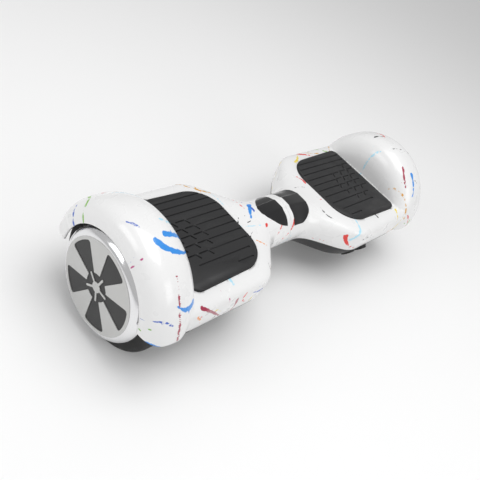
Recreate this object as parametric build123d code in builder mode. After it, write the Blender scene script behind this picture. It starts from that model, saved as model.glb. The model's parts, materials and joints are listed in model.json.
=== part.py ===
from build123d import *
import math
import os

# Two-wheeled self balancing board, in millimetres.
# X runs along the axle line, Y points the way the rider faces, Z points up.
# The origin lies on the floor, under the middle of the board.

# ---- driving dimensions ----
half_length = 292.0          # middle of the board to the face of a hub
wheel_radius = 82.5
wheel_face_inset = 16.5      # hub face to the outer side of the tyre
tyre_width = 42.5
deck_height = 117.0          # top of the platform beside a foot pad
deck_half_width = 90.5
belly_height = 33.0          # underside of the platform
neck_radius = 35.8
pivot_height = 88.3
wheel_wall_x = 220.5         # inner wall of a wheel arch
fender_radius = 96.0
shell_wall = 3.0
SIDES = (("left", -1), ("right", 1))

# ---- platform form ----
flare_start = 30.0
flare_length = 88.0
deck_start = 90.0            # the neck's top has come down to the deck here
belt_rise = 14.0             # how far the widest line of the platform rises over the neck's
upper_squareness = 1.5
lower_squareness = 1.0
section_steps = 12           # points along one side of a section
neck_stations = 8            # sections from the middle out to the full platform
form_past_wall = 29.5        # the platform's flank runs on past the wheel wall into the arch
seam_height = 72.0           # parting line of the upper and lower shell
seam_gap = 0.5
centre_gap = 1.2             # between the two halves
end_wall = 3.4               # thickness of a shell's wall at the middle

# ---- wheel arch ----
lip_radius = 70.0
lip_x = half_length - 1.5
arch_wall = 2.8
arch_roll = 26.0             # rounding from the crest out to the lip
arch_rise_radius = 52.0      # the inner wall stands upright below this radius
crest_inner_x = 256.0
arch_edge_height = 88.0      # lower edge of the arch at its lip

# ---- foot pads ----
pad_inner_x = 90.4
pad_outer_x = wheel_wall_x - 1.4
pad_inner_half = 66.7
pad_outer_half = 71.1
pad_inner_corner = 42.0
pad_outer_corner = 10.5
pad_proud = 1.5
pad_gap = 0.6
pad_recess = 5.0
pad_floor = 2.5
pad_travel = 1.5
pad_rest_gap = 0.3
pad_edge_round = 1.2
post_size = (12.0, 8.0)
post_length = 8.0
post_spacing = 60.0
post_clearance = 1.0

# ---- windows and lamps ----
lens_start = 7.5
lens_tip = 45.0
lens_tip_half = 5.0
lens_waist = (29.0, 21.8)
lens_half = 29.0
lens_tab_end = 48.0
lens_tab_half = 31.0
lens_tab_corner = 22.0
lens_depth = 1.6
lens_gap = 0.3
lamp_x = 150.0
lamp_height = 92.0
lamp_size = (48.0, 13.0)
lamp_window = (40.0, 7.0)
lamp_depth = 1.8
lamp_board_size = (50.0, 10.0)

# ---- middle pivot ----
shaft_radius = 14.0
shaft_bore = 11.0
shaft_end = 64.0
housing_radius = 20.0
housing_start = 12.0
housing_end = 58.0
bush_radius = 17.0
bush_length = 12.0
running_gap = 0.05
pivot_hole = 21.5
twist_limit = 12.0           # degrees each way
stop_pin_radius = 3.0
stop_pin_x = 35.0
stop_pin_reach = 23.0
clip_thickness = 1.5
clip_radius = 18.0
groove_depth = 1.2
thrust_gap = 0.3

# ---- chassis ----
plate_top = 63.0
plate_thickness = 5.0
plate_half = 60.0
plate_end = wheel_wall_x - 5.5
rib_height = 8.0
rib_thickness = 4.0
screw_xs = (116.0, 160.0, 203.0)
screw_y = 50.0
screw_radius = 2.0
screw_head_radius = 3.8
screw_head_height = 2.4
boss_radius = 5.0

# ---- axle and its clamp ----
axle_radius = 8.0
axle_inner_x = 186.0
clamp_start = 190.0
clamp_end = 213.0
clamp_half = 26.0
clamp_top = 98.0
clamp_split = 0.6
clamp_screw_radius = 2.5
clamp_screw_y = 18.0
clamp_screw_inset = 6.0
axle_hole = 11.0

# ---- hub motor ----
hub_radius = 57.1
hub_face_depth = 5.0
rim_flange_radius = 67.4
rim_flange_inset = 12.4      # hub face to the widest part of the rim
tyre_seat_radius = 62.0
drum_bore = 57.0
drum_plate = 6.0
magnet_thickness = 4.0
air_gap = 0.8
stator_length = 24.0
stator_teeth = 27
slot_width = 3.5
slot_depth = 15.0
winding_height = 4.0
bearing_small = (6.0, 14.0, 8.0)     # bore radius, outer radius, width
bearing_large = (8.0, 17.5, 9.0)
bearing_wall = 5.0
end_clearance = 0.5          # axle end to the drum's plate
cover_thickness = 3.5
cover_screw_count = 6
cover_screw_radius = 1.5
cover_screw_depth = 6.0
blade_count = 5
blade_outer = 53.0
blade_outer_angle = 38.0
blade_neck = 12.0
blade_neck_radius = 17.0
blade_round = 3.5
blade_phase = 0.0
inlay_drop = 0.8
star_radius = 18.0
star_arm = 2.6
star_centre = 6.5

# ---- electrics ----
board_thickness = 1.6
sensor_board = (84.0, 92.0)
sensor_board_height = 102.0
battery_size = (98.0, 84.0, 36.0)
battery_x = 136.0
battery_round = 6.0
main_board_size = (96.0, 78.0)
main_board_x = 138.0
standoff_height = 6.0
indicator_size = (26.0, 22.0)
indicator_height = 113.0
port_z = 58.0
port_tilt = 35.0             # how far the ports look down from level
port_collar_radius = 10.5
port_collar_depth = 8.0
port_stand = 1.0
button_x = 122.0
button_radius = 7.0
button_gap = 0.3
charge_x = 156.0
charge_radius = 7.5
charge_bore = 6.0
charge_pin_radius = 0.8
cap_radius = 9.5
cap_thickness = 2.4
cap_knuckle = 1.5
cap_pin_radius = 0.7
cap_tab = 7.0
cap_lug = 2.0
cap_lug_root = 5.0
charge_flange = 1.5
button_proud = 0.6
button_edge = 0.5
button_flange = 1.5
switch_face = 11.3           # face of the switch behind the port's plane
switch_size = (14.0, 14.0, 7.0)
bracket_reach = 20.5
bracket_thickness = 2.0
board_corner = 3.0
heat_sink = (80.0, 8.0, 14.0)
connector = (12.0, 6.0, 7.0)
connector_pitch = 18.0
connector_count = 4
capacitor_radius = 5.0
capacitor_height = 13.0
capacitor_pitch = 16.0
capacitor_count = 3

board_gap = 1.5
led_pitch = 6.0
led_count = 6
led_size = 3.0
gate_spread = 13.0
gate_size = (9.0, 3.0, 4.5)
peg_radius = 2.0
indicator_slot = (10.0, 18.0)
stake_spread = (35.0, 41.0)
stake_shoulder = 3.0
stake_radius = 1.5
stake_end = 0.8
lamp_post = 2.0
lamp_post_overlap = 0.6
sleeve_radius = 17.5
clip_opening = 60.0          # degrees
set_screw_depth = 11.0
set_screw_socket = 1.5
web_width = 18.0
plate_neck_half = 12.0
plate_waist_x = 50.0
plate_waist_half = 22.0
plate_wide_x = 104.0         # the plate has its full width from here
set_screw_radius = 3.0
stop_pin_gap = 0.4
screw_gap = 0.3
head_lift = 8.0              # the screw heads sit this far up in their posts
boss_depth = 16.0
post_radius = 6.0
cross_slot = 0.9
clamp_chamfer = 5.0
clamp_head_radius = 4.2
clamp_head_height = 3.6
axle_bore = 3.5
stator_bore = 10.0
winding_inset = 2.0
bead_height = 3.0
rim_lip = 1.2
rim_face_drop = 0.4
tyre_shoulder = 7.0
tread_grooves = 3
tread_pitch = 8.0
groove_width = 2.0
tread_depth = 1.2
cover_head_radius = 2.6
cover_head_height = 1.4
inlay_gap = 0.1

# ---- sizes that follow ----
axle_height = wheel_radius
neck_top = pivot_height + neck_radius
neck_bottom = pivot_height - neck_radius
tyre_outer_x = half_length - wheel_face_inset
tyre_inner_x = tyre_outer_x - tyre_width
recess_floor = deck_height - pad_recess
pad_bottom = recess_floor + pad_travel + pad_rest_gap
pad_top = deck_height + pad_proud
pad_middle_x = (pad_inner_x + pad_outer_x) / 2
plate_bottom = plate_top - plate_thickness
drum_inner_x = tyre_inner_x - 2.0
plate_face_x = half_length - hub_face_depth
magnet_inner = drum_bore - magnet_thickness
stator_radius = magnet_inner - air_gap
motor_middle_x = (drum_inner_x + plate_face_x - drum_plate) / 2
neck_end = flare_start + flare_length
screw_places = [(x, y) for x in screw_xs for y in (-screw_y, screw_y)]
head_seat = belly_height + shell_wall + head_lift
clamp_places = [(x, y) for x in (clamp_start + clamp_screw_inset, clamp_end - clamp_screw_inset)
                for y in (-clamp_screw_y, clamp_screw_y)]
lamp_board_y = deck_half_width - shell_wall - board_gap
indicator_middle_x = lens_start + indicator_size[0] / 2
indicator_pegs = [(indicator_middle_x + way * indicator_size[0] / 3, 0) for way in (-1, 1)]
swing = math.radians(twist_limit)
stop_window_half = housing_radius * math.sin(swing) + stop_pin_radius + stop_pin_gap
large_seat_x = drum_inner_x
small_end_x = plate_face_x - drum_plate / 2
small_seat_x = small_end_x - bearing_small[2]
axle_end_x = small_end_x - end_clearance
cover_screw_ring = (tyre_seat_radius + drum_bore) / 2
pad_posts = [(pad_middle_x - post_spacing / 2, 0), (pad_middle_x + post_spacing / 2, 0)]
stakes = [(pad_middle_x + across, along) for across in (-stake_spread[0], stake_spread[0])
          for along in (-stake_spread[1], stake_spread[1])]
cap_hinge_drop = port_collar_radius + cap_knuckle
axle_line = Axis((0, 0, axle_height), (1, 0, 0))

os.makedirs("parts", exist_ok=True)


def save(builder, name):
    builder.part.label = name
    export_step(builder.part, f"parts/{name}.step")


def smooth(t):
    t = min(max(t, 0.0), 1.0)
    return t * t * (3 - 2 * t)


# ---- planes: in each, local x points outboard on either half ----
def plan(side, height):
    return Plane(origin=(0, 0, height), x_dir=(side, 0, 0), z_dir=(0, 0, 1))


def wheel_plane(side):
    return Plane(origin=(0, 0, axle_height), x_dir=(side, 0, 0), z_dir=(0, -side, 0))


def cross_plane(side, x, height):
    return Plane(origin=(side * x, 0, height), x_dir=(0, side, 0), z_dir=(side, 0, 0))


# ---- the platform form: squared ovals along X that swell from the neck to the deck ----
def half_section(side, x, inset):
    swell = smooth((x - flare_start) / flare_length)
    half = neck_radius + (deck_half_width - neck_radius) * swell - inset
    top = neck_top + (deck_height - neck_top) * smooth(x / deck_start) - inset
    bottom = neck_bottom + (belly_height - neck_bottom) * smooth(x / neck_end) + inset
    middle = pivot_height + belt_rise * swell
    points = [(0, bottom)]
    for step in range(1, section_steps):
        angle = math.pi * (step / section_steps - 0.5)
        across = math.cos(angle)
        up = math.sin(angle)
        rise = top - middle if up > 0 else middle - bottom
        power = 2 + (upper_squareness if up > 0 else lower_squareness) * swell
        reach = (across ** power + abs(up) ** power) ** (-1 / power)
        points.append((half * reach * across, middle + rise * reach * up))
    points.append((0, top))
    with BuildSketch(Plane.YZ.offset(side * x)) as outline:
        with BuildLine():
            Spline(*points, tangents=[(1, 0), (-1, 0)])
            Line(points[-1], points[0])
        make_face()
    return outline.sketch


def body_form(side, start, stop, inset, mode=Mode.ADD):
    step = (neck_end - start) / neck_stations
    sections = [half_section(side, start + step * station, inset) for station in range(neck_stations + 1)]
    with BuildPart(mode=Mode.PRIVATE) as form:
        loft(sections)
        extrude(sections[-1], amount=side * (stop - neck_end))
        mirror(about=Plane.XZ)
    add(form.part, mode=mode)


# ---- the wheel arch: an upright inner wall, a long rise, a crest and a rolled lip ----
def arch_outline(side, inset):
    foot = (wheel_wall_x + inset, arch_rise_radius)
    crest_in = (crest_inner_x, fender_radius - inset)
    crest_out = (lip_x - arch_roll, fender_radius - inset)
    lip = (lip_x - inset, lip_radius)
    with BuildSketch(wheel_plane(side)) as outline:
        with BuildLine():
            Line((wheel_wall_x + inset, 0), foot)
            Spline(foot, crest_in, tangents=[(0, 1), (1, 0)])
            Line(crest_in, crest_out)
            Spline(crest_out, lip, tangents=[(1, 0), (0, -1)])
            Polyline(lip, (lip_x - inset, 0), (wheel_wall_x + inset, 0))
        make_face()
    return outline.sketch


def pad_outline(plane, grow=0.0):
    with BuildSketch(plane) as outline:
        with BuildLine():
            Polyline(
                (pad_inner_x, -pad_inner_half),
                (pad_outer_x, -pad_outer_half),
                (pad_outer_x, pad_outer_half),
                (pad_inner_x, pad_inner_half),
                close=True,
            )
        make_face()
        fillet(outline.vertices().group_by(Axis.X)[0], radius=pad_inner_corner)
        fillet(outline.vertices().sort_by(Axis.X)[-2:], radius=pad_outer_corner)
        if grow:
            offset(amount=grow)
    return outline.sketch


# left: a shield that points outboard; right: a tab with a rounded end
def window_outline(side, grow=0.0):
    with BuildSketch(plan(side, pivot_height)) as outline:
        if side < 0:
            with BuildLine():
                ThreePointArc((lens_start, -lens_half), (lens_waist[0], -lens_waist[1]), (lens_tip, -lens_tip_half))
                Line((lens_tip, -lens_tip_half), (lens_tip, lens_tip_half))
                ThreePointArc((lens_tip, lens_tip_half), lens_waist, (lens_start, lens_half))
                Line((lens_start, lens_half), (lens_start, -lens_half))
            make_face()
        else:
            with Locations(((lens_start + lens_tab_end) / 2, 0)):
                Rectangle(lens_tab_end - lens_start, 2 * lens_tab_half)
            fillet(outline.vertices().group_by(Axis.X)[-1], radius=lens_tab_corner)
        if grow:
            offset(amount=grow)
    return outline.sketch


def lamp_plane(side, y):
    return Plane(origin=(side * lamp_x, y, lamp_height), x_dir=(-1, 0, 0), z_dir=(0, 1, 0))


def lamp_outline(side, size):
    with BuildSketch(lamp_plane(side, 0)) as outline:
        SlotOverall(*size)
    return outline.sketch


def port_plane(x):
    tilt = math.radians(port_tilt)
    middle = pivot_height + belt_rise
    power = 2 + lower_squareness
    share = 1 - ((middle - port_z) / (middle - belly_height)) ** power
    y = -deck_half_width * share ** (1 / power)
    look = (0, -math.cos(tilt), -math.sin(tilt))
    return Plane(origin=(x, y, port_z), x_dir=(1, 0, 0), z_dir=look)


# square across the hinge line of the charging cap, below its collar
def hinge_plane(shift):
    port = port_plane(charge_x)
    middle = port.from_local_coords((shift, -cap_hinge_drop, port_stand + thrust_gap + cap_knuckle))
    return Plane(origin=middle, x_dir=port.y_dir, z_dir=(1, 0, 0))


def window_blank(side, grow, depth):
    # a slice of the skin under the window's outline
    with BuildPart(mode=Mode.PRIVATE) as blank:
        body_form(side, centre_gap / 2, neck_end + 1, 0)
        body_form(side, centre_gap / 2, neck_end + 1, depth, Mode.SUBTRACT)
        extrude(window_outline(side, grow), amount=2 * neck_radius, mode=Mode.INTERSECT)
    return blank.part


def lamp_blank(side, grow, depth):
    with BuildPart(mode=Mode.PRIVATE) as blank:
        body_form(side, neck_end - 1, wheel_wall_x, 0)
        body_form(side, neck_end - 1, wheel_wall_x, depth, Mode.SUBTRACT)
        size = (lamp_size[0] + 2 * grow, lamp_size[1] + 2 * grow)
        extrude(lamp_outline(side, size), amount=2 * deck_half_width, mode=Mode.INTERSECT)
    return blank.part


# the dark part of the hub face: blades that widen outwards and a middle disc
def blade_outline(shrink):
    half_angle = math.radians(blade_outer_angle / 2)
    tip_x = blade_outer * math.cos(half_angle)
    tip_y = blade_outer * math.sin(half_angle)
    with BuildSketch(Plane.XY, mode=Mode.PRIVATE) as blade:
        with BuildLine():
            Polyline((0, -blade_neck / 2), (blade_neck_radius, -blade_neck / 2), (tip_x, -tip_y))
            ThreePointArc((tip_x, -tip_y), (blade_outer, 0), (tip_x, tip_y))
            Polyline((tip_x, tip_y), (blade_neck_radius, blade_neck / 2), (0, blade_neck / 2))
            Line((0, blade_neck / 2), (0, -blade_neck / 2))
        make_face()
        fillet(blade.vertices().group_by(Axis.X)[-1], radius=blade_round)
    with BuildSketch(Plane.XY, mode=Mode.PRIVATE) as outline:
        with PolarLocations(0, blade_count, start_angle=blade_phase):
            add(blade.sketch)
        Circle(blade_neck_radius)
        if shrink:
            offset(amount=-shrink)
    return outline.sketch


def parting_cut(side):
    # all that lies under the upper shell's lower edge
    under = -2 * axle_height
    parting = seam_height + seam_gap / 2 - axle_height
    edge = arch_edge_height - axle_height
    with BuildSketch(wheel_plane(side)) as outline:
        with BuildLine():
            Polyline((-5, under), (-5, parting), (wheel_wall_x, parting), (lip_x, edge),
                     (lip_x + 5, edge), (lip_x + 5, under), close=True)
        make_face()
    return outline.sketch


# ---- shells of each half ----
for half, side in SIDES:
    with BuildPart() as hollow:
        body_form(side, end_wall, wheel_wall_x, shell_wall)
        pocket = pad_outline(plan(side, recess_floor - pad_floor), pad_gap + shell_wall)
        extrude(pocket, amount=pad_recess + pad_floor, mode=Mode.SUBTRACT)

    with BuildPart() as upper_shell:
        body_form(side, centre_gap / 2, wheel_wall_x + form_past_wall, 0)
        revolve(arch_outline(side, 0), axis=axle_line)
        revolve(arch_outline(side, arch_wall), axis=axle_line, mode=Mode.SUBTRACT)
        with BuildSketch(cross_plane(side, lip_x - 2 * arch_wall, axle_height)):
            Circle(lip_radius)
        extrude(amount=4 * arch_wall, mode=Mode.SUBTRACT)
        extrude(parting_cut(side), amount=2 * deck_half_width, both=True, mode=Mode.SUBTRACT)
        add(hollow.part, mode=Mode.SUBTRACT)
        extrude(pad_outline(plan(side, recess_floor), pad_gap), amount=2 * pad_recess, mode=Mode.SUBTRACT)
        # slots for the pad's two posts
        with BuildSketch(plan(side, recess_floor - 2 * pad_floor)):
            with Locations(*pad_posts):
                Rectangle(post_size[0] + 2 * post_clearance, post_size[1] + 2 * post_clearance)
        extrude(amount=3 * pad_floor, mode=Mode.SUBTRACT)
        # openings over the pivot and the axle, open below so the shell can be lowered on
        with BuildSketch(cross_plane(side, 0, pivot_height)):
            Circle(pivot_hole)
            with Locations((0, -pivot_height / 2)):
                Rectangle(2 * pivot_hole, pivot_height)
        extrude(amount=2 * end_wall, mode=Mode.SUBTRACT)
        with BuildSketch(cross_plane(side, wheel_wall_x - 2 * shell_wall, axle_height)):
            Circle(axle_hole)
            with Locations((0, -axle_height / 2)):
                Rectangle(2 * axle_hole, axle_height)
        extrude(amount=4 * shell_wall, mode=Mode.SUBTRACT)
        # seats for the display window and the front lamp
        add(window_blank(side, lens_gap, lens_depth + lens_gap), mode=Mode.SUBTRACT)
        add(lamp_blank(side, lens_gap, lamp_depth + lens_gap), mode=Mode.SUBTRACT)
        extrude(lamp_outline(side, lamp_window), amount=2 * deck_half_width, mode=Mode.SUBTRACT)
        # screw bosses that stand on the chassis plate
        with BuildSketch(plan(side, plate_top)):
            with Locations(*screw_places):
                Circle(boss_radius)
        extrude(amount=recess_floor - pad_floor / 2 - plate_top)
        with BuildSketch(plan(side, plate_top)):
            with Locations(*screw_places):
                Circle(screw_radius + running_gap)
        extrude(amount=boss_depth, mode=Mode.SUBTRACT)
        # shouldered stakes that carry the sensor board under the pad floor
        with BuildSketch(plan(side, sensor_board_height + board_thickness)):
            with Locations(*stakes):
                Circle(stake_shoulder)
        extrude(amount=recess_floor - pad_floor / 2 - sensor_board_height - board_thickness)
        with BuildSketch(plan(side, sensor_board_height - stake_end)):
            with Locations(*stakes):
                Circle(stake_radius)
        extrude(amount=board_thickness + stake_end)
        # posts behind the front lamp for its board
        with BuildSketch(lamp_plane(side, lamp_board_y)):
            with GridLocations(lamp_size[0] - lamp_post, 0, 2, 1):
                Rectangle(lamp_post, lamp_window[1])
        extrude(amount=board_gap + lamp_post_overlap)
        if side < 0:
            # light slot and pegs for the indicator board
            with BuildSketch(plan(side, indicator_height)):
                with Locations((indicator_middle_x, 0)):
                    Rectangle(*indicator_slot)
            extrude(amount=neck_radius, mode=Mode.SUBTRACT)
            with BuildSketch(plan(side, indicator_height + board_thickness)):
                with Locations(*indicator_pegs):
                    Circle(peg_radius)
            extrude(amount=neck_top - 2 * lens_depth - indicator_height - board_thickness)
    save(upper_shell, f"{half}_upper_shell")

    with BuildPart() as lower_hollow:
        body_form(side, end_wall, wheel_wall_x, shell_wall)
        with BuildSketch(plan(side, 0)):
            with Locations(*screw_places):
                Circle(post_radius)
        extrude(amount=plate_bottom, mode=Mode.SUBTRACT)

    with BuildPart() as lower_shell:
        body_form(side, centre_gap / 2, wheel_wall_x, 0)
        add(lower_hollow.part, mode=Mode.SUBTRACT)
        with BuildSketch(plan(side, seam_height - seam_gap / 2)):
            with Locations((wheel_wall_x / 2, 0)):
                Rectangle(2 * wheel_wall_x, 3 * deck_half_width)
        extrude(amount=deck_height, mode=Mode.SUBTRACT)
        with BuildSketch(cross_plane(side, 0, pivot_height)):
            Circle(pivot_hole)
        extrude(amount=2 * end_wall, mode=Mode.SUBTRACT)
        with BuildSketch(plan(side, 0)):
            with Locations(*screw_places):
                Circle(screw_radius + screw_gap)
        extrude(amount=seam_height, mode=Mode.SUBTRACT)
        with BuildSketch(plan(side, 0)):
            with Locations(*screw_places):
                Circle(screw_head_radius + screw_gap)
        extrude(amount=head_seat, mode=Mode.SUBTRACT)
        if side > 0:
            # collars of the power button and the charging socket
            for x in (button_x, charge_x):
                with BuildSketch(port_plane(x).offset(-port_collar_depth)):
                    Circle(port_collar_radius)
                extrude(amount=port_collar_depth + port_stand)
                with BuildSketch(port_plane(x).offset(port_stand)):
                    Circle(button_radius + button_gap if x == button_x else charge_radius)
                extrude(amount=-4 * port_collar_depth, mode=Mode.SUBTRACT)
            # lugs and pin of the charging cap's hinge
            for shift in (-cap_tab / 2 - cap_lug - thrust_gap, cap_tab / 2 + thrust_gap):
                with BuildSketch(hinge_plane(shift)):
                    Circle(cap_knuckle)
                    with Locations((0, -cap_lug_root / 2)):
                        Rectangle(2 * cap_knuckle, cap_lug_root)
                    with Locations((cap_knuckle, -cap_lug_root * 0.7)):
                        Rectangle(2 * cap_knuckle, cap_lug_root * 0.6)
                extrude(amount=cap_lug)
            with BuildSketch(hinge_plane(-cap_tab / 2 - cap_lug)):
                Circle(cap_pin_radius)
            extrude(amount=cap_tab + 2 * cap_lug)
    save(lower_shell, f"{half}_lower_shell")

    with BuildPart() as display_lens:
        add(window_blank(side, 0, lens_depth))
    save(display_lens, f"{half}_display_lens")

    with BuildPart() as headlamp_lens:
        add(lamp_blank(side, 0, lamp_depth))
    save(headlamp_lens, f"{half}_headlamp_lens")

    with BuildPart() as lamp_board:
        with BuildSketch(lamp_plane(side, lamp_board_y)):
            Rectangle(*lamp_board_size)
        extrude(amount=-board_thickness)
        with BuildSketch(lamp_plane(side, lamp_board_y)):
            with GridLocations(led_pitch, 0, led_count, 1):
                Rectangle(led_size, led_size)
        extrude(amount=board_gap)
    save(lamp_board, f"{half}_lamp_board")

    with BuildPart() as foot_pad:
        extrude(pad_outline(plan(side, pad_bottom)), amount=pad_top - pad_bottom)
        chamfer(foot_pad.faces().sort_by(Axis.Z)[-1].edges(), length=pad_edge_round)
        with BuildSketch(plan(side, pad_bottom)):
            with Locations(*pad_posts):
                Rectangle(*post_size)
        extrude(amount=-post_length)
    save(foot_pad, f"{half}_foot_pad")

    with BuildPart() as sensor_board_part:
        with BuildSketch(plan(side, sensor_board_height)):
            with Locations((pad_middle_x, 0)):
                RectangleRounded(*sensor_board, radius=3)
            with Locations(*screw_places):
                Circle(boss_radius + 1, mode=Mode.SUBTRACT)
            with Locations(*stakes):
                Circle(stake_radius + running_gap, mode=Mode.SUBTRACT)
        extrude(amount=board_thickness)
        # a light gate straddles each post of the pad
        with BuildSketch(plan(side, sensor_board_height + board_thickness)):
            with Locations(*[(x, way * gate_spread / 2) for x, y in pad_posts for way in (-1, 1)]):
                Rectangle(gate_size[0], gate_size[1])
        extrude(amount=gate_size[2])
    save(sensor_board_part, f"{half}_sensor_board")

    # ---- chassis casting, axle clamp and the screws that hold the half together ----
    with BuildPart() as chassis:
        with BuildSketch(plan(side, plate_bottom)):
            with BuildLine():
                edge = [(housing_start, plate_neck_half), (plate_waist_x, plate_waist_half),
                        (plate_wide_x, plate_half), (plate_end, plate_half)]
                mirrored = [(x, -y) for x, y in reversed(edge)]
                Polyline(*edge, *mirrored, close=True)
            make_face()
            with Locations(*screw_places):
                Circle(screw_radius + screw_gap, mode=Mode.SUBTRACT)
        extrude(amount=plate_thickness)
        # stiffening ribs along the sides
        with BuildSketch(plan(side, plate_top)):
            with Locations(((screw_xs[0] + screw_xs[-1]) / 2, 0)):
                with GridLocations(0, 2 * plate_half - rib_thickness, 1, 2):
                    Rectangle(screw_xs[-1] - screw_xs[0], rib_thickness)
        extrude(amount=rib_height)
        # pivot housing on its web
        with BuildSketch(plan(side, plate_top - plate_thickness / 2)):
            with Locations(((housing_start + housing_end) / 2, 0)):
                Rectangle(housing_end - housing_start, web_width)
        extrude(amount=pivot_height - plate_top)
        with BuildSketch(cross_plane(side, housing_start, pivot_height)):
            Circle(housing_radius)
        extrude(amount=housing_end - housing_start)
        with BuildSketch(cross_plane(side, housing_start, pivot_height)):
            Circle(shaft_radius if side < 0 else bush_radius)
        extrude(amount=housing_end - housing_start, mode=Mode.SUBTRACT)
        if side < 0:
            # threaded hole of the set screw
            with BuildSketch(Plane.XY.offset(pivot_height)):
                with Locations((-stop_pin_x, 0)):
                    Circle(set_screw_radius)
            extrude(amount=2 * housing_radius, mode=Mode.SUBTRACT)
        else:
            # window in which the stop pin swings
            with BuildSketch(Plane.XY.offset(pivot_height)):
                with Locations((stop_pin_x, 0)):
                    Rectangle(2 * (stop_pin_radius + stop_pin_gap), 2 * stop_window_half)
            extrude(amount=2 * housing_radius, mode=Mode.SUBTRACT)
        # lower half of the axle seat
        with BuildSketch(plan(side, plate_top - plate_thickness / 2)):
            with Locations(((clamp_start + clamp_end) / 2, 0)):
                Rectangle(clamp_end - clamp_start, 2 * clamp_half)
        extrude(amount=axle_height - clamp_split / 2 - plate_top + plate_thickness / 2)
        with BuildSketch(cross_plane(side, clamp_start - 1, axle_height)):
            Circle(axle_radius)
        extrude(amount=clamp_end - clamp_start + 2, mode=Mode.SUBTRACT)
        with BuildSketch(plan(side, plate_top)):
            with Locations(*clamp_places):
                Circle(clamp_screw_radius + running_gap)
        extrude(amount=axle_height, mode=Mode.SUBTRACT)
    save(chassis, f"{half}_chassis")

    with BuildPart() as axle_clamp:
        with BuildSketch(plan(side, axle_height + clamp_split / 2)):
            with Locations(((clamp_start + clamp_end) / 2, 0)):
                Rectangle(clamp_end - clamp_start, 2 * clamp_half)
        extrude(amount=clamp_top - axle_height - clamp_split / 2)
        chamfer(axle_clamp.faces().sort_by(Axis.Z)[-1].edges().filter_by(Axis.X), length=clamp_chamfer)
        with BuildSketch(cross_plane(side, clamp_start - 1, axle_height)):
            Circle(axle_radius)
        extrude(amount=clamp_end - clamp_start + 2, mode=Mode.SUBTRACT)
        with BuildSketch(plan(side, axle_height)):
            with Locations(*clamp_places):
                Circle(clamp_screw_radius + running_gap)
        extrude(amount=clamp_top, mode=Mode.SUBTRACT)
    save(axle_clamp, f"{half}_axle_clamp")

    with BuildPart() as clamp_screws:
        with BuildSketch(plan(side, plate_top)):
            with Locations(*clamp_places):
                Circle(clamp_screw_radius)
        extrude(amount=clamp_top - plate_top)
        with BuildSketch(plan(side, clamp_top)):
            with Locations(*clamp_places):
                Circle(clamp_head_radius)
        extrude(amount=clamp_head_height)
        with BuildSketch(plan(side, clamp_top + clamp_head_height)):
            with Locations(*clamp_places):
                RegularPolygon(clamp_screw_radius, 6)
        extrude(amount=-clamp_head_height * 0.6, mode=Mode.SUBTRACT)
    save(clamp_screws, f"{half}_clamp_screws")

    with BuildPart() as shell_screws:
        with BuildSketch(plan(side, head_seat)):
            with Locations(*screw_places):
                Circle(screw_radius)
        extrude(amount=plate_top + boss_depth - head_seat - screw_gap)
        with BuildSketch(plan(side, head_seat)):
            with Locations(*screw_places):
                Circle(screw_head_radius)
        extrude(amount=-screw_head_height)
        with BuildSketch(plan(side, head_seat - screw_head_height)):
            with Locations(*screw_places):
                Rectangle(cross_slot, 2 * screw_radius)
                Rectangle(2 * screw_radius, cross_slot)
        extrude(amount=screw_head_height / 2, mode=Mode.SUBTRACT)
    save(shell_screws, f"{half}_shell_screws")

    # ---- hub motor wheel ----
    with BuildPart() as axle:
        with BuildSketch(wheel_plane(side)):
            with BuildLine():
                Polyline(
                    (axle_inner_x, axle_bore), (axle_inner_x, axle_radius),
                    (large_seat_x + bearing_large[2], axle_radius),
                    (large_seat_x + bearing_large[2], stator_bore), (small_seat_x, stator_bore),
                    (small_seat_x, bearing_small[0]), (axle_end_x, bearing_small[0]),
                    (axle_end_x, 0), (small_seat_x, 0), (small_seat_x, axle_bore),
                    close=True,
                )
            make_face()
        revolve(axis=axle_line)
    save(axle, f"{half}_axle")

    with BuildPart() as bearing_inner:
        with BuildSketch(cross_plane(side, large_seat_x, axle_height)):
            Circle(bearing_large[1])
            Circle(bearing_large[0] + running_gap, mode=Mode.SUBTRACT)
        extrude(amount=bearing_large[2] - thrust_gap)
    save(bearing_inner, f"{half}_bearing_inner")

    with BuildPart() as bearing_outer:
        with BuildSketch(cross_plane(side, small_seat_x + thrust_gap, axle_height)):
            Circle(bearing_small[1])
            Circle(bearing_small[0] + running_gap, mode=Mode.SUBTRACT)
        extrude(amount=bearing_small[2] - thrust_gap)
    save(bearing_outer, f"{half}_bearing_outer")

    with BuildPart() as stator:
        with BuildSketch(cross_plane(side, motor_middle_x - stator_length / 2, axle_height)):
            Circle(stator_radius)
            Circle(stator_bore, mode=Mode.SUBTRACT)
            with PolarLocations(stator_radius - slot_depth / 2, stator_teeth):
                Rectangle(slot_depth, slot_width, mode=Mode.SUBTRACT)
        extrude(amount=stator_length)
        # copper bundles that stand out past both faces of the core
        for start, way in ((motor_middle_x + stator_length / 2, 1), (motor_middle_x - stator_length / 2, -1)):
            with BuildSketch(cross_plane(side, start, axle_height)):
                Circle(stator_radius - winding_inset)
                Circle(stator_radius - slot_depth - winding_inset, mode=Mode.SUBTRACT)
            extrude(amount=way * winding_height)
    save(stator, f"{half}_stator")

    with BuildPart() as magnet_ring:
        with BuildSketch(cross_plane(side, motor_middle_x - stator_length / 2 - 1, axle_height)):
            Circle(drum_bore)
            Circle(magnet_inner, mode=Mode.SUBTRACT)
        extrude(amount=stator_length + 2)
    save(magnet_ring, f"{half}_magnet_ring")

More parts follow.
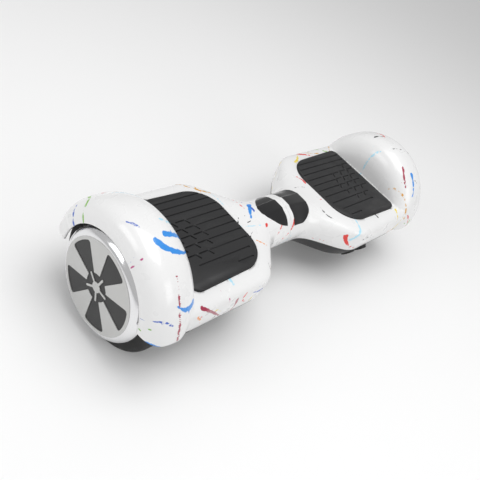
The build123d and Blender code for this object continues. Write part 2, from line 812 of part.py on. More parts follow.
    with BuildPart() as rim:
        with BuildSketch(wheel_plane(side)):
            with BuildLine():
                plate_inner = plate_face_x - drum_plate
                Polyline(
                    (plate_face_x, 0), (small_end_x, 0), (small_end_x, bearing_small[1]),
                    (small_seat_x, bearing_small[1]), (small_seat_x, bearing_small[1] + bearing_wall),
                    (plate_inner, bearing_small[1] + bearing_wall), (plate_inner, drum_bore),
                    (drum_inner_x, drum_bore), (drum_inner_x, tyre_seat_radius + bead_height),
                    (tyre_inner_x, tyre_seat_radius + bead_height), (tyre_inner_x, tyre_seat_radius),
                    (tyre_outer_x, tyre_seat_radius), (tyre_outer_x, rim_flange_radius - 1),
                    (half_length - rim_flange_inset, rim_flange_radius),
                )
                ThreePointArc(
                    (half_length - rim_flange_inset, rim_flange_radius),
                    (half_length - rim_flange_inset * 0.3, hub_radius + (rim_flange_radius - hub_radius) * 0.62),
                    (half_length - rim_face_drop, hub_radius + rim_lip),
                )
                Polyline(
                    (half_length - rim_face_drop, hub_radius + rim_lip),
                    (half_length - rim_face_drop, hub_radius), (plate_face_x, hub_radius), (plate_face_x, 0),
                )
            make_face()
        revolve(axis=axle_line)
        with BuildSketch(cross_plane(side, drum_inner_x, axle_height)):
            with PolarLocations(cover_screw_ring, cover_screw_count):
                Circle(cover_screw_radius + running_gap)
        extrude(amount=cover_screw_depth, mode=Mode.SUBTRACT)
    save(rim, f"{half}_rim")

    with BuildPart() as tyre:
        with BuildSketch(wheel_plane(side)) as tyre_section:
            with BuildLine():
                Polyline(
                    (tyre_inner_x, tyre_seat_radius), (tyre_inner_x, wheel_radius),
                    (tyre_outer_x, wheel_radius), (tyre_outer_x, tyre_seat_radius), close=True,
                )
            make_face()
            fillet(tyre_section.vertices().group_by(Axis.Y)[-1], radius=tyre_shoulder)
            # three grooves round the tread
            with GridLocations(tread_pitch, 0, tread_grooves, 1):
                with Locations((tyre_inner_x + tyre_width / 2, wheel_radius)):
                    Rectangle(groove_width, 2 * tread_depth, mode=Mode.SUBTRACT)
        revolve(axis=axle_line)
    save(tyre, f"{half}_tyre")

    with BuildPart() as motor_end_cover:
        with BuildSketch(cross_plane(side, drum_inner_x, axle_height)):
            Circle(tyre_seat_radius)
            Circle(axle_radius + 1, mode=Mode.SUBTRACT)
            with PolarLocations(cover_screw_ring, cover_screw_count):
                Circle(cover_screw_radius + running_gap, mode=Mode.SUBTRACT)
        extrude(amount=-cover_thickness)
        with BuildSketch(cross_plane(side, drum_inner_x, axle_height)):
            Circle(bearing_large[1] + bearing_wall)
            Circle(bearing_large[1], mode=Mode.SUBTRACT)
        extrude(amount=bearing_large[2])
    save(motor_end_cover, f"{half}_motor_end_cover")

    with BuildPart() as cover_screws:
        with BuildSketch(cross_plane(side, drum_inner_x - cover_thickness, axle_height)):
            with PolarLocations(cover_screw_ring, cover_screw_count):
                Circle(cover_screw_radius)
        extrude(amount=cover_thickness + cover_screw_depth - running_gap)
        with BuildSketch(cross_plane(side, drum_inner_x - cover_thickness, axle_height)):
            with PolarLocations(cover_screw_ring, cover_screw_count):
                Circle(cover_head_radius)
        extrude(amount=-cover_head_height)
    save(cover_screws, f"{half}_cover_screws")

    with BuildPart() as hub_cover:
        with BuildSketch(cross_plane(side, plate_face_x, axle_height)):
            Circle(hub_radius)
            add(blade_outline(0), mode=Mode.SUBTRACT)
        extrude(amount=hub_face_depth)
        # star badge in the middle
        with BuildSketch(cross_plane(side, half_length - inlay_drop, axle_height)):
            Circle(star_centre)
            with PolarLocations(star_radius / 2, blade_count, start_angle=blade_phase):
                SlotOverall(star_radius, star_arm)
        extrude(amount=inlay_drop)
    save(hub_cover, f"{half}_hub_cover")

    with BuildPart() as hub_inlay:
        with BuildSketch(cross_plane(side, plate_face_x, axle_height)):
            add(blade_outline(inlay_gap))
        extrude(amount=hub_face_depth - inlay_drop)
    save(hub_inlay, f"{half}_hub_inlay")

# ---- pivot in the middle: a shaft fixed in the left casting that turns in bushes in the right ----
with BuildPart() as pivot_shaft:
    with BuildSketch(cross_plane(1, -housing_end, pivot_height)):
        Circle(shaft_radius)
        Circle(shaft_bore, mode=Mode.SUBTRACT)
    extrude(amount=housing_end + shaft_end)
    with BuildSketch(cross_plane(1, housing_end + thrust_gap, pivot_height)):
        Circle(shaft_radius + 1)
        Circle(shaft_radius - groove_depth, mode=Mode.SUBTRACT)
    extrude(amount=clip_thickness, mode=Mode.SUBTRACT)
    with BuildSketch(Plane.XY.offset(pivot_height)):
        with Locations((stop_pin_x, 0)):
            Circle(stop_pin_radius)
        with Locations((-stop_pin_x, 0)):
            Circle(set_screw_radius)
    extrude(amount=2 * shaft_radius, mode=Mode.SUBTRACT)
save(pivot_shaft, "pivot_shaft")

with BuildPart() as spacer_sleeve:
    with BuildSketch(cross_plane(1, -housing_start, pivot_height)):
        Circle(sleeve_radius)
        Circle(shaft_radius + running_gap, mode=Mode.SUBTRACT)
    extrude(amount=2 * housing_start - thrust_gap)
save(spacer_sleeve, "spacer_sleeve")

for name, start in (("inner", housing_start), ("outer", housing_end - bush_length)):
    with BuildPart() as pivot_bush:
        with BuildSketch(cross_plane(1, start, pivot_height)):
            Circle(bush_radius)
            Circle(shaft_radius + running_gap, mode=Mode.SUBTRACT)
        extrude(amount=bush_length)
    save(pivot_bush, f"pivot_bush_{name}")

with BuildPart() as pivot_circlip:
    with BuildSketch(cross_plane(1, housing_end + thrust_gap, pivot_height)):
        Circle(clip_radius)
        Circle(shaft_radius - groove_depth, mode=Mode.SUBTRACT)
        with BuildLine():
            reach = 2 * clip_radius
            half_open = math.radians(clip_opening / 2)
            Polyline((0, 0), (reach, -reach * math.tan(half_open)), (reach, reach * math.tan(half_open)), close=True)
        make_face(mode=Mode.SUBTRACT)
    extrude(amount=clip_thickness)
save(pivot_circlip, "pivot_circlip")

with BuildPart() as twist_stop_pin:
    with BuildSketch(Plane.XY.offset(pivot_height + shaft_bore - 1)):
        with Locations((stop_pin_x, 0)):
            Circle(stop_pin_radius)
    extrude(amount=stop_pin_reach - shaft_bore + 1)
    chamfer(twist_stop_pin.faces().sort_by(Axis.Z)[-1].edges(), length=screw_gap)
save(twist_stop_pin, "twist_stop_pin")

with BuildPart() as pivot_set_screw:
    with BuildSketch(Plane.XY.offset(pivot_height + housing_radius - set_screw_depth)):
        with Locations((-stop_pin_x, 0)):
            Circle(set_screw_radius)
    extrude(amount=set_screw_depth - groove_depth)
    with BuildSketch(Plane.XY.offset(pivot_height + housing_radius - groove_depth)):
        with Locations((-stop_pin_x, 0)):
            RegularPolygon(set_screw_socket, 6)
    extrude(amount=-2 * set_screw_socket, mode=Mode.SUBTRACT)
save(pivot_set_screw, "pivot_set_screw")

# ---- electrics ----
with BuildPart() as main_board:
    with BuildSketch(plan(-1, plate_top + standoff_height)):
        with Locations((main_board_x, 0)):
            RectangleRounded(*main_board_size, radius=board_corner)
    extrude(amount=board_thickness)
    with BuildSketch(plan(-1, plate_top)):
        with Locations((main_board_x, 0)):
            with GridLocations(main_board_size[0] - 4 * board_corner, main_board_size[1] - 4 * board_corner, 2, 2):
                Circle(board_corner)
    extrude(amount=standoff_height)
    # heat sink bar, connectors and capacitors
    with BuildSketch(plan(-1, plate_top + standoff_height + board_thickness)):
        with Locations((main_board_x, -main_board_size[1] / 2 + heat_sink[1])):
            Rectangle(heat_sink[0], heat_sink[1])
    extrude(amount=heat_sink[2])
    with BuildSketch(plan(-1, plate_top + standoff_height + board_thickness)):
        with Locations((main_board_x, main_board_size[1] / 2 - connector[1])):
            with GridLocations(connector_pitch, 0, connector_count, 1):
                Rectangle(connector[0], connector[1])
    extrude(amount=connector[2])
    with BuildSketch(plan(-1, plate_top + standoff_height + board_thickness)):
        with Locations((main_board_x, 0)):
            with GridLocations(capacitor_pitch, 0, capacitor_count, 1):
                Circle(capacitor_radius)
    extrude(amount=capacitor_height)
save(main_board, "main_board")

with BuildPart() as battery_pack:
    with BuildSketch(plan(1, plate_top)):
        with Locations((battery_x, 0)):
            RectangleRounded(battery_size[0], battery_size[1], radius=battery_round)
    extrude(amount=battery_size[2])
    chamfer(battery_pack.faces().sort_by(Axis.Z)[-1].edges(), length=battery_round / 3)
save(battery_pack, "battery_pack")

with BuildPart() as indicator_board:
    with BuildSketch(plan(-1, indicator_height)):
        with Locations((indicator_middle_x, 0)):
            RectangleRounded(*indicator_size, radius=board_corner)
    extrude(amount=board_thickness)
    with BuildSketch(plan(-1, indicator_height + board_thickness)):
        with Locations((indicator_middle_x, 0)):
            with GridLocations(0, led_pitch, 1, 3):
                Rectangle(led_size, led_size)
    extrude(amount=led_size / 3)
save(indicator_board, "indicator_board")

with BuildPart() as power_button:
    with BuildSketch(port_plane(button_x).offset(-port_collar_depth - thrust_gap)):
        Circle(button_radius)
    extrude(amount=port_collar_depth + port_stand + thrust_gap + button_proud)
    chamfer(power_button.edges().sort_by(Axis.Y)[0], length=button_edge)
    with BuildSketch(port_plane(button_x).offset(-port_collar_depth - thrust_gap)):
        Circle(button_radius + button_flange)
    extrude(amount=-button_flange)
save(power_button, "power_button")

with BuildPart() as power_switch:
    with BuildSketch(port_plane(button_x).offset(-switch_face)):
        Rectangle(switch_size[0], switch_size[1])
    extrude(amount=-switch_size[2])
    # bracket that lies on the rib of the chassis
    with BuildSketch(Plane.XY.offset(plate_top + rib_height)):
        with Locations((button_x, -plate_half - bracket_reach / 2 + rib_thickness)):
            Rectangle(switch_size[0], bracket_reach)
    extrude(amount=bracket_thickness)
save(power_switch, "power_switch")

with BuildPart() as charge_port:
    with BuildSketch(port_plane(charge_x).offset(port_stand)):
        Circle(charge_radius - running_gap)
    extrude(amount=-port_collar_depth - port_stand - charge_flange)
    with BuildSketch(port_plane(charge_x).offset(-port_collar_depth)):
        Circle(cap_radius)
    extrude(amount=-charge_flange)
    with BuildSketch(port_plane(charge_x).offset(port_stand)):
        Circle(charge_bore)
    extrude(amount=-port_collar_depth - port_stand, mode=Mode.SUBTRACT)
    with BuildSketch(port_plane(charge_x).offset(-port_collar_depth)):
        with PolarLocations(charge_bore / 2, 3, start_angle=90):
            Circle(charge_pin_radius)
    extrude(amount=port_collar_depth - port_stand)
save(charge_port, "charge_port")

with BuildPart() as charge_cap:
    with BuildSketch(port_plane(charge_x).offset(port_stand + thrust_gap)):
        Circle(cap_radius)
        with Locations((0, -cap_hinge_drop / 2)):
            Rectangle(cap_tab, cap_hinge_drop)
    extrude(amount=cap_thickness)
    with BuildSketch(hinge_plane(-cap_tab / 2)):
        Circle(cap_knuckle)
    extrude(amount=cap_tab)
    with BuildSketch(hinge_plane(-cap_tab / 2)):
        Circle(cap_pin_radius + running_gap)
    extrude(amount=cap_tab, mode=Mode.SUBTRACT)
save(charge_cap, "charge_cap")
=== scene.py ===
# %% [markdown]
# A self balancing board with a printed shell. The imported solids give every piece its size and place,
# and the steps below give them their finishes, the printed pattern, the grooves of the foot pads and
# a small studio to stand in.

# %% Load the frame
import json
import math

import bmesh
import bpy
import numpy as np
from mathutils import Matrix, Vector


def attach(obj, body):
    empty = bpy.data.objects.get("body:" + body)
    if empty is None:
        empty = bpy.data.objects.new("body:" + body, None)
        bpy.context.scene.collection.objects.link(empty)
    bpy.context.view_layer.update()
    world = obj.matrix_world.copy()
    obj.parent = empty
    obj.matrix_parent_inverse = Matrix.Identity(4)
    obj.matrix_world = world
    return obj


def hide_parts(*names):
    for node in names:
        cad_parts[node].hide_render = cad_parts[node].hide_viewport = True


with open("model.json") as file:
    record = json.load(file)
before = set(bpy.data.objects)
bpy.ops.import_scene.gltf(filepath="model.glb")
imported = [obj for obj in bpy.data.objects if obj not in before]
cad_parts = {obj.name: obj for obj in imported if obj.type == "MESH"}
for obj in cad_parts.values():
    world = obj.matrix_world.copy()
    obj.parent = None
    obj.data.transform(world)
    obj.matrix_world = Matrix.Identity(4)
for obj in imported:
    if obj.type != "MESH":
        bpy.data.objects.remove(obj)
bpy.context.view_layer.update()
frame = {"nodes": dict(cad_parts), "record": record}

nodes = frame["nodes"]
MM = 0.001
print("pieces in the frame:", len(nodes))

# %% [markdown]
# Moulded plastic, rubber and cast metal all carry a fine grain and a slightly uneven gloss. One node
# group gives both: noise in object space drives a bump, and a slower noise shifts the roughness.
# Ink lies on the shell in layers, so a second group lays one ink over the colour below wherever the
# ink's own distance falls under zero. A distance stays crisp between vertices, and a colour blurs.


# %% Shared shader groups
def new_group(name, inputs, outputs):
    group = bpy.data.node_groups.new(name, "ShaderNodeTree")
    for label, kind, value in inputs:
        group.interface.new_socket(label, in_out="INPUT", socket_type=kind).default_value = value
    for label, kind in outputs:
        group.interface.new_socket(label, in_out="OUTPUT", socket_type=kind)
    return group, group.nodes.new("NodeGroupInput"), group.nodes.new("NodeGroupOutput")


def object_noise(tree, scale, detail=2.0):
    """Noise read in object space, so that it stays on the piece as the piece moves."""
    place = tree.nodes.new("ShaderNodeTexCoord")
    noise = tree.nodes.new("ShaderNodeTexNoise")
    noise.inputs["Scale"].default_value = scale
    noise.inputs["Detail"].default_value = detail
    tree.links.new(place.outputs["Object"], noise.inputs["Vector"])
    return noise


def remapped(tree, value, low, high):
    spread = tree.nodes.new("ShaderNodeMapRange")
    spread.inputs["To Min"].default_value = low
    spread.inputs["To Max"].default_value = high
    tree.links.new(value, spread.inputs["Value"])
    return spread


def grain_group():
    group, entry, leave = new_group(
        "moulded grain",
        [("Scale", "NodeSocketFloat", 2000.0), ("Height", "NodeSocketFloat", 0.00002),
         ("Roughness", "NodeSocketFloat", 0.5)],
        [("Normal", "NodeSocketVector"), ("Roughness", "NodeSocketFloat")],
    )
    noise = object_noise(group, 1.0)
    bump = group.nodes.new("ShaderNodeBump")
    group.links.new(entry.outputs["Scale"], noise.inputs["Scale"])
    group.links.new(noise.outputs["Fac"], bump.inputs["Height"])
    group.links.new(entry.outputs["Height"], bump.inputs["Distance"])
    group.links.new(bump.outputs["Normal"], leave.inputs["Normal"])
    uneven = remapped(group, object_noise(group, 45.0).outputs["Fac"], 0.8, 1.25)
    gloss = group.nodes.new("ShaderNodeMath")
    gloss.operation = "MULTIPLY"
    group.links.new(entry.outputs["Roughness"], gloss.inputs[0])
    group.links.new(uneven.outputs["Result"], gloss.inputs[1])
    group.links.new(gloss.outputs[0], leave.inputs["Roughness"])
    return group


def ink_group():
    group, entry, leave = new_group(
        "ink layer",
        [("Below", "NodeSocketColor", (1, 1, 1, 1)), ("Ink", "NodeSocketColor", (0, 0, 0, 1)),
         ("Distance", "NodeSocketFloat", 1.0), ("Ragged", "NodeSocketFloat", 0.0)],
        [("Colour", "NodeSocketColor")],
    )
    shifted = group.nodes.new("ShaderNodeMath")
    shifted.operation = "ADD"
    cover = group.nodes.new("ShaderNodeMapRange")
    cover.inputs["From Min"].default_value = -0.25
    cover.inputs["From Max"].default_value = 0.25
    cover.inputs["To Min"].default_value = 1.0
    cover.inputs["To Max"].default_value = 0.0
    mix = group.nodes.new("ShaderNodeMix")
    mix.data_type = "RGBA"
    blend, below, ink = mix.inputs[0], mix.inputs[6], mix.inputs[7]
    group.links.new(entry.outputs["Distance"], shifted.inputs[0])
    group.links.new(entry.outputs["Ragged"], shifted.inputs[1])
    group.links.new(shifted.outputs[0], cover.inputs["Value"])
    group.links.new(cover.outputs["Result"], blend)
    group.links.new(entry.outputs["Below"], below)
    group.links.new(entry.outputs["Ink"], ink)
    group.links.new(mix.outputs[2], leave.inputs["Colour"])
    return group


GRAIN = grain_group()
INK = ink_group()

# %% [markdown]
# Plain finishes differ only in colour, roughness, metal and grain, so one function makes them from a
# table. The hub and rim are the only bright metal that shows, and the rest hides inside the shells.


# %% Plain finishes
def finish(name, colour, roughness, metallic=0.0, grain=(1800, 0.00002), coat=0.0):
    material = bpy.data.materials.new(name)
    material.use_nodes = True
    tree = material.node_tree
    shader = tree.nodes["Principled BSDF"]
    shader.inputs["Base Color"].default_value = (*colour, 1.0)
    shader.inputs["Metallic"].default_value = metallic
    shader.inputs["Coat Weight"].default_value = coat
    shader.inputs["Coat Roughness"].default_value = 0.05
    skin = tree.nodes.new("ShaderNodeGroup")
    skin.node_tree = GRAIN
    skin.inputs["Scale"].default_value = grain[0]
    skin.inputs["Height"].default_value = grain[1]
    skin.inputs["Roughness"].default_value = roughness
    tree.links.new(skin.outputs["Normal"], shader.inputs["Normal"])
    tree.links.new(skin.outputs["Roughness"], shader.inputs["Roughness"])
    return material


FINISHES = {
    "black_shell": finish("grained black moulding", (0.010, 0.010, 0.011), 0.45, grain=(1800, 0.00003)),
    "smoked_window": finish("smoked window", (0.006, 0.006, 0.007), 0.16, grain=(400, 0.000002)),
    "lamp_lens": finish("lamp lens", (0.62, 0.74, 0.86), 0.1, coat=0.5, grain=(300, 0.00002)),
    "pad_rubber": finish("ribbed pad rubber", (0.008, 0.008, 0.009), 0.5, grain=(2600, 0.00004)),
    "tyre_rubber": finish("tyre rubber", (0.007, 0.007, 0.007), 0.65, grain=(1500, 0.00004)),
    "polished_rim": finish("polished rim", (0.80, 0.80, 0.81), 0.14, 1.0, grain=(900, 0.000002)),
    "hub_silver": finish("satin silver paint", (0.55, 0.55, 0.54), 0.34, 0.6, grain=(3000, 0.000006)),
    "hub_black": finish("black hub inlay", (0.008, 0.008, 0.008), 0.35, grain=(2200, 0.00002)),
    "cast_alloy": finish("cast alloy", (0.5, 0.51, 0.52), 0.5, 0.9, grain=(1200, 0.00006)),
    "steel": finish("machined steel", (0.55, 0.55, 0.56), 0.3, 1.0, grain=(2500, 0.00001)),
    "motor_core": finish("motor core", (0.42, 0.2, 0.09), 0.4, 0.8),
    "magnets": finish("nickel magnets", (0.4, 0.41, 0.43), 0.25, 1.0),
    "bronze": finish("sintered bronze", (0.55, 0.34, 0.15), 0.45, 0.9),
    "nylon": finish("black nylon", (0.02, 0.02, 0.02), 0.5),
    "circuit_board": finish("circuit board", (0.02, 0.16, 0.06), 0.4),
    "battery_wrap": finish("battery wrap", (0.03, 0.1, 0.32), 0.35),
    "cap_rubber": finish("soft cap rubber", (0.015, 0.015, 0.015), 0.65, grain=(1800, 0.00003)),
}

# %% [markdown]
# A shell like this is printed by water transfer: a film of ink wraps round the moulding. So the
# pattern is laid out on a flat film, with one direction along the board and the other round its
# girth, and every place on the shell knows where on the film it lies. Loose strokes and round
# splashes are thrown on it at random, colour after colour. Each stroke bends only a little and
# always the same way, so that the print stays abstract.

# %% Film of the print
FILM_RADIUS = 90.0
FILM_AXIS_HEIGHT = 60.0
FILM_HALF_LENGTH = 292.0
FILM_HALF_GIRTH = 235.0
STEPS_PER_STROKE = 4
MOST_BEND = 0.35
SPLASH_EVERY = 3
SPLASH_SPREAD = 7.0
FAR_FROM_INK = 8.0

# ink: (colour, strokes, shortest, longest, thinnest, thickest), lengths in millimetres
INKS = {
    "pale blue": ((0.42, 0.72, 0.86), 16, 25, 70, 1.5, 6.0),
    "azure": ((0.02, 0.25, 0.72), 16, 20, 80, 2.0, 8.0),
    "ochre": ((0.66, 0.33, 0.03), 14, 20, 60, 1.0, 3.6),
    "yellow": ((0.80, 0.62, 0.02), 20, 5, 26, 1.2, 4.0),
    "orange": ((0.82, 0.26, 0.02), 16, 12, 45, 0.8, 4.0),
    "deep blue": ((0.02, 0.10, 0.50), 22, 10, 42, 0.8, 4.2),
    "green": ((0.18, 0.45, 0.03), 14, 10, 40, 1.0, 3.4),
    "scarlet": ((0.72, 0.02, 0.01), 38, 10, 50, 1.2, 5.2),
    "crimson": ((0.34, 0.01, 0.05), 16, 18, 70, 1.4, 5.0),
    "magenta": ((0.45, 0.02, 0.18), 10, 8, 30, 0.8, 2.4),
    "white": ((0.85, 0.85, 0.85), 20, 15, 60, 0.7, 2.0),
    "black": ((0.006, 0.006, 0.008), 40, 6, 42, 0.5, 3.4),
}


def thrown_strokes(draw, count, shortest, longest, thinnest, thickest, steps=STEPS_PER_STROKE):
    """Strokes of a few straight steps, each turned a little from the last; the width tapers."""
    rods = []
    for _ in range(count):
        place = draw.uniform((-FILM_HALF_LENGTH, -FILM_HALF_GIRTH), (FILM_HALF_LENGTH, FILM_HALF_GIRTH))
        heading, bend = draw.uniform(0, math.tau), draw.uniform(-MOST_BEND, MOST_BEND)
        step = draw.uniform(shortest, longest) / steps
        radii = np.linspace(draw.uniform(thinnest, thickest), thinnest, steps + 1) / 2
        for first, last in zip(radii[:-1], radii[1:]):
            after = place + step * np.array([math.cos(heading), math.sin(heading)])
            rods.append((place, after, first, last))
            place, heading = after, heading + bend
    return rods


def splashes(draw, rods):
    """Round drops near the start of every third rod."""
    drops = []
    for start, *_ in rods[::SPLASH_EVERY]:
        spot = start + draw.normal(0, SPLASH_SPREAD, 2)
        drops.append((spot, spot + 0.1, draw.uniform(0.4, 1.6), 0.4))
    return drops


def film_place(places):
    """Along the board, and the angle about the board's middle line times the film's radius."""
    turn = np.arctan2(places[:, 1], places[:, 2] - FILM_AXIS_HEIGHT)
    return np.stack([places[:, 0], FILM_RADIUS * turn], 1)


def ink_distance(film, rods, limit=FAR_FROM_INK):
    """Smallest value, over all rods, of the distance to the rod's axis less its radius."""
    best = np.full(len(film), limit)
    for start, end, first, last in rods:
        along = end - start
        share = np.clip(((film - start) @ along) / (along @ along), 0, 1)
        gap = np.linalg.norm(film - start - share[:, None] * along, axis=1)
        best = np.minimum(best, gap - (first + (last - first) * share))
    return best


draw = np.random.default_rng(11)
THROWN = {}
for ink, (_, *numbers) in INKS.items():
    rods = thrown_strokes(draw, *numbers)
    THROWN[ink] = rods + splashes(draw, rods)
print("rods of ink:", sum(len(rods) for rods in THROWN.values()))

# %% [markdown]
# The upper shell's own triangles are long and thin where the neck flares, and a glossy finish shows
# that. A copy is cut into small triangles, which also carry the ink distances, and the normals of the
# flare are worked out from its formula: squared ovals that swell from a round neck to the deck.

# %% The flare's formula
NECK_RADIUS = 35.8
PIVOT_HEIGHT = 88.3
DECK_HALF_WIDTH = 90.5
DECK_HEIGHT = 117.0
BELLY_HEIGHT = 33.0
FLARE_START = 30.0
FLARE_LENGTH = 88.0
DECK_START = 90.0
BELT_RISE = 14.0
OVAL_POWER = 2.0
UPPER_SQUARENESS = 1.5
LOWER_SQUARENESS = 1.0


def smooth_step(t):
    t = np.clip(t, 0, 1)
    return t * t * (3 - 2 * t)


def flare_value(p):
    """Zero on the skin: (y / half width) ** n + (height off the widest line / rise) ** n - 1."""
    x = np.abs(p[:, 0])
    swell = smooth_step((x - FLARE_START) / FLARE_LENGTH)
    half = NECK_RADIUS + (DECK_HALF_WIDTH - NECK_RADIUS) * swell
    neck_top, neck_bottom = PIVOT_HEIGHT + NECK_RADIUS, PIVOT_HEIGHT - NECK_RADIUS
    top = neck_top + (DECK_HEIGHT - neck_top) * smooth_step(x / DECK_START)
    bottom = neck_bottom + (BELLY_HEIGHT - neck_bottom) * smooth_step(x / (FLARE_START + FLARE_LENGTH))
    middle = PIVOT_HEIGHT + BELT_RISE * swell
    upper = p[:, 2] > middle
    rise = np.where(upper, top - middle, middle - bottom)
    power = OVAL_POWER + np.where(upper, UPPER_SQUARENESS, LOWER_SQUARENESS) * swell
    return (np.abs(p[:, 1]) / half) ** power + (np.abs(p[:, 2] - middle) / rise) ** power - 1


def flare_normals(p, step=0.4):
    """Unit gradient of the formula by central differences, and the distance off the skin."""
    slopes = []
    for axis in range(3):
        shift = np.zeros(3)
        shift[axis] = step
        slopes.append((flare_value(p + shift) - flare_value(p - shift)) / (2 * step))
    slopes = np.stack(slopes, 1)
    steep = np.maximum(np.linalg.norm(slopes, axis=1), 1e-9)
    return slopes / steep[:, None], flare_value(p) / steep


# %% [markdown]
# Cutting stops at edges of a few millimetres: fine enough for crisp ink, and well under the limit on
# triangles. The window and the pad recess keep their sharp edges, because the angle there is steep.

# %% Cut the shell fine and hang the distances on it
EDGE_LIMIT = 4.5 * MM
FLARE_END = 117.0
SHARP_EDGE = math.radians(32)
ON_SKIN = 1.6
FACING = 0.9
MOST_CUTS = 6
SAME_PLACE = 1e-6


def merged(mesh):
    shape = bmesh.new()
    shape.from_mesh(mesh)
    bmesh.ops.remove_doubles(shape, verts=shape.verts, dist=SAME_PLACE)
    return shape


def fine_copy(node):
    mesh = nodes[node].data.copy()
    shape = merged(mesh)
    for _ in range(MOST_CUTS):
        long_edges = [edge for edge in shape.edges if edge.calc_length() > EDGE_LIMIT]
        if not long_edges:
            break
        bmesh.ops.subdivide_edges(shape, edges=long_edges, cuts=1)
        bmesh.ops.triangulate(shape, faces=[face for face in shape.faces if len(face.verts) > 3])
    shape.to_mesh(mesh)
    shape.free()
    return mesh


def read_vectors(items, name, count):
    flat = np.empty(count * 3)
    items.foreach_get(name, flat)
    return flat.reshape(-1, 3)


def smooth_normals(mesh, places):
    """Corner normals from the formula where the corner lies on the flare's skin."""
    normals, off = flare_normals(places)
    corner_vertex = np.empty(len(mesh.loops), int)
    mesh.loops.foreach_get("vertex_index", corner_vertex)
    corners = read_vectors(mesh.corner_normals, "vector", len(mesh.loops))
    of_face = np.repeat(read_vectors(mesh.polygons, "normal", len(mesh.polygons)), 3, axis=0)
    wanted = normals[corner_vertex]
    on_skin = np.abs(off[corner_vertex]) < ON_SKIN
    on_skin &= (np.abs(places[corner_vertex, 0]) < FLARE_END) & ((of_face * wanted).sum(1) > FACING)
    corners[on_skin] = wanted[on_skin]
    mesh.normals_split_custom_set(corners.tolist())
    return int(on_skin.sum())


def placed(name, mesh, body, node):
    piece = bpy.data.objects.new(name, mesh)
    bpy.context.scene.collection.objects.link(piece)
    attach(piece, body)
    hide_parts(node)
    return piece


def printed_shell(half, material):
    node = half + "_upper_shell"
    mesh = fine_copy(node)
    mesh.polygons.foreach_set("use_smooth", np.ones(len(mesh.polygons), bool))
    mesh.set_sharp_from_angle(angle=SHARP_EDGE)
    places = read_vectors(mesh.vertices, "co", len(mesh.vertices)) / MM
    film = film_place(places)
    for ink, rods in THROWN.items():
        layer = mesh.attributes.new("ink " + ink, "FLOAT", "POINT")
        layer.data.foreach_set("value", ink_distance(film, rods).astype(np.float32))
    smoothed = smooth_normals(mesh, places)
    mesh.materials.clear()
    mesh.materials.append(material)
    placed(node + "_print", mesh, half + "_half", node)
    print(node, "triangles", len(mesh.polygons), "corners smoothed", smoothed)


# %% [markdown]
# The printed finish is a white gloss with the inks laid over it in order, under a clear coat.
# A little noise is added to each distance, so that the edges look brushed.

# %% Printed finish
SHELL_WHITE = (0.80, 0.80, 0.80)


def printed_finish():
    material = finish("printed gloss", SHELL_WHITE, 0.28, grain=(900, 0.000004), coat=0.5)
    tree = material.node_tree
    ragged = remapped(tree, object_noise(tree, 170.0, 4.0).outputs["Fac"], -2.0, 2.0)
    last = None
    for ink, (colour, *_) in INKS.items():
        reader = tree.nodes.new("ShaderNodeAttribute")
        reader.attribute_name = "ink " + ink
        layer = tree.nodes.new("ShaderNodeGroup")
        layer.node_tree = INK
        layer.inputs["Below"].default_value = (*SHELL_WHITE, 1)
        layer.inputs["Ink"].default_value = (*colour, 1)
        tree.links.new(reader.outputs["Fac"], layer.inputs["Distance"])
        tree.links.new(ragged.outputs["Result"], layer.inputs["Ragged"])
        if last:
            tree.links.new(last.outputs["Colour"], layer.inputs["Below"])
        last = layer
    tree.links.new(last.outputs["Colour"], tree.nodes["Principled BSDF"].inputs["Base Color"])
    return material


PRINT = printed_finish()
for half in ("left", "right"):
    printed_shell(half, PRINT)

# %% [markdown]
# The foot pads are moulded rubber with grooves along the board, and rows of hooked marks in the
# outer part. Each groove is a wedge-shaped bar, and one boolean cuts them all out of a copy of the
# pad, so that their edges are crisp and catch the light. The top stays flat shaded, because smooth
# shading across its large cut faces would leave streaks.

# %% Grooves of a foot pad
PAD_TOP = 118.5
GROOVE_DEPTH = 1.1
GROOVE_WIDTH = 1.6
WEDGE_FLOOR = 0.4
LONG_GROOVES = [(58, 104, 214), (47, 99, 214), (36, 96, 196), (24, 95, 156), (12, 94, 150),
                (0, 94, 146), (-13, 95, 150), (-27, 97, 160), (-42, 106, 190), (-56, 112, 138)]
MARK_ROWS = [(36, 200, 214), (24, 160, 214), (12, 154, 214), (0, 150, 214), (-13, 154, 214),
             (-27, 164, 196)]
MARK_PITCH = 20.0
MARK_LENGTH = 14.0
HOOK = (-3.5, -6.5)
PAD_SHARP_EDGE = math.radians(25)


def wedge(start, end, width=GROOVE_WIDTH):
    """A bar from start to end that stands over the pad and narrows to its floor."""
    start, end = np.array(start, float), np.array(end, float)
    along = (end - start) / np.linalg.norm(end - start)
    across = np.array([-along[1], along[0]])
    corners = []
    for tip in (start - along * width / 2, end + along * width / 2):
        for half, height in ((-1, 1), (1, 1), (WEDGE_FLOOR, -GROOVE_DEPTH), (-WEDGE_FLOOR, -GROOVE_DEPTH)):
            corners.append([*(tip + across * width * half), PAD_TOP + height])
    return corners


def groove_bars(side):
    bars = [wedge((side * first, y), (side * last, y)) for y, first, last in LONG_GROOVES]
    for y, first, last in MARK_ROWS:
        for x in np.arange(first, last - MARK_LENGTH / 2, MARK_PITCH):
            bars.append(wedge((side * x, y), (side * min(x + MARK_LENGTH, last), y)))
            bars.append(wedge((side * x, y), (side * (x + HOOK[0]), y + HOOK[1])))
    return bars


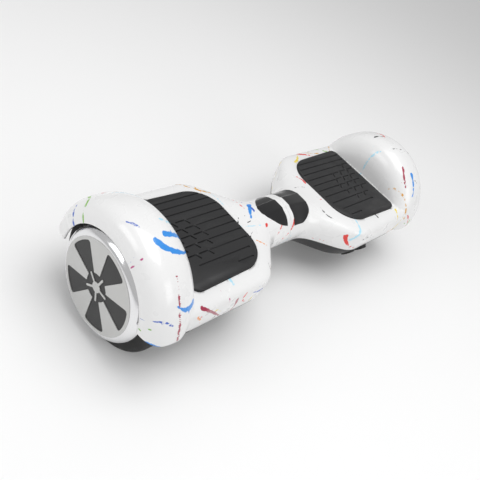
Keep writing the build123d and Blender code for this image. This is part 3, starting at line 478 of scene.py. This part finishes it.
def cutter_for(side, name):
    bars = groove_bars(side)
    sides = [(0, 1, 2, 3), (7, 6, 5, 4), (0, 4, 5, 1), (1, 5, 6, 2), (2, 6, 7, 3), (3, 7, 4, 0)]
    mesh = bpy.data.meshes.new(name)
    faces = [tuple(corner + 8 * n for corner in face) for n in range(len(bars)) for face in sides]
    mesh.from_pydata((np.concatenate(bars) * MM).tolist(), [], faces)
    shape = merged(mesh)
    bmesh.ops.recalc_face_normals(shape, faces=shape.faces)
    shape.to_mesh(mesh)
    shape.free()
    return bpy.data.objects.new(name, mesh)


def grooved_pad(half, side):
    mesh = nodes[half + "_foot_pad"].data.copy()
    shape = merged(mesh)
    shape.to_mesh(mesh)
    shape.free()
    plain = bpy.data.objects.new(half + "_pad_plain", mesh)
    cutter = cutter_for(side, half + "_pad_cutter")
    for helper in (plain, cutter):
        bpy.context.scene.collection.objects.link(helper)
    cut = plain.modifiers.new("grooves", "BOOLEAN")
    cut.operation = "DIFFERENCE"
    cut.solver = "EXACT"
    cut.use_self = True
    cut.object = cutter
    ready = bpy.data.meshes.new_from_object(plain.evaluated_get(bpy.context.evaluated_depsgraph_get()))
    normals = read_vectors(ready.polygons, "normal", len(ready.polygons))
    round_side = (np.abs(normals[:, 2]) > 0.02) & (np.abs(normals[:, 2]) < 0.999)
    ready.polygons.foreach_set("use_smooth", round_side)
    ready.set_sharp_from_angle(angle=PAD_SHARP_EDGE)
    ready.materials.clear()
    ready.materials.append(FINISHES["pad_rubber"])
    for helper in (cutter, plain):
        bpy.data.objects.remove(helper)
    placed(half + "_pad_grooved", ready, half + "_pad", half + "_foot_pad")
    print(half, "pad faces", len(ready.polygons))


for half, side in (("left", -1), ("right", 1)):
    grooved_pad(half, side)

# %% [markdown]
# Every other piece keeps its own solid and takes the finish of its slot in the record.

# %% Finishes on the other pieces
for entry in frame["record"]["subparts"]:
    if entry["material_slot"] in FINISHES:
        materials = nodes[entry["node"]].data.materials
        materials.clear()
        materials.append(FINISHES[entry["material_slot"]])

# %% [markdown]
# The studio is a pale floor, a white surround and large soft lights: one from above, and one from
# each side so that the gloss has something bright to show.

# %% Studio
FLOOR_REACH = 4.0


def soft_light(name, place, size, power, target=(0, 0, 0.08)):
    lamp = bpy.data.lights.new(name, "AREA")
    lamp.size = size
    lamp.energy = power
    light = bpy.data.objects.new(name, lamp)
    light.location = place
    light.rotation_mode = "QUATERNION"
    light.rotation_quaternion = (Vector(target) - Vector(place)).to_track_quat("-Z", "Y")
    bpy.context.scene.collection.objects.link(light)


floor_mesh = bpy.data.meshes.new("floor")
corners = [(x * FLOOR_REACH, y * FLOOR_REACH, 0) for x, y in ((-1, -1), (1, -1), (1, 1), (-1, 1))]
floor_mesh.from_pydata(corners, [], [(0, 1, 2, 3)])
floor_mesh.materials.append(finish("pale floor", (0.90, 0.90, 0.90), 0.9))
floor = bpy.data.objects.new("floor", floor_mesh)
bpy.context.scene.collection.objects.link(floor)

soft_light("top light", (-0.1, -0.2, 1.6), 1.2, 13)
soft_light("left light", (-1.5, 0.5, 0.9), 0.8, 5)
soft_light("rear light", (0.3, -1.6, 0.8), 0.8, 4)

world = bpy.data.worlds.new("white surround")
world.use_nodes = True
world.node_tree.nodes["Background"].inputs["Color"].default_value = (1, 1, 1, 1)
world.node_tree.nodes["Background"].inputs["Strength"].default_value = 0.55
bpy.context.scene.world = world
bpy.context.scene.view_settings.view_transform = "Standard"

# %% [markdown]
# The camera looks along the board from its near end and is turned about its own line of sight,
# because the board is shown leaning back on its lower edge while the frame keeps it level.

# %% Camera
AZIMUTH, ELEVATION, ROLL = math.radians(-62.9), math.radians(38.2), math.radians(29.6)
DISTANCE = 0.826
LOOK_AT = Vector((-0.0372, 0.0084, 0.0535))
SENSOR, LENS = 36.0, 44.07

back = Vector((math.sin(AZIMUTH) * math.cos(ELEVATION), -math.cos(AZIMUTH) * math.cos(ELEVATION),
               math.sin(ELEVATION)))
level_right = Vector((0, 0, 1)).cross(back).normalized()
level_up = back.cross(level_right)
right = level_right * math.cos(ROLL) + level_up * math.sin(ROLL)
up = level_up * math.cos(ROLL) - level_right * math.sin(ROLL)
camera = bpy.data.objects.new("camera", bpy.data.cameras.new("camera"))
camera.data.sensor_width = SENSOR
camera.data.lens = LENS
camera.data.clip_start = 0.01
turned = Matrix((right, up, back)).transposed().to_4x4()
camera.matrix_world = Matrix.Translation(LOOK_AT + back * DISTANCE) @ turned
bpy.context.scene.collection.objects.link(camera)
bpy.context.scene.camera = camera
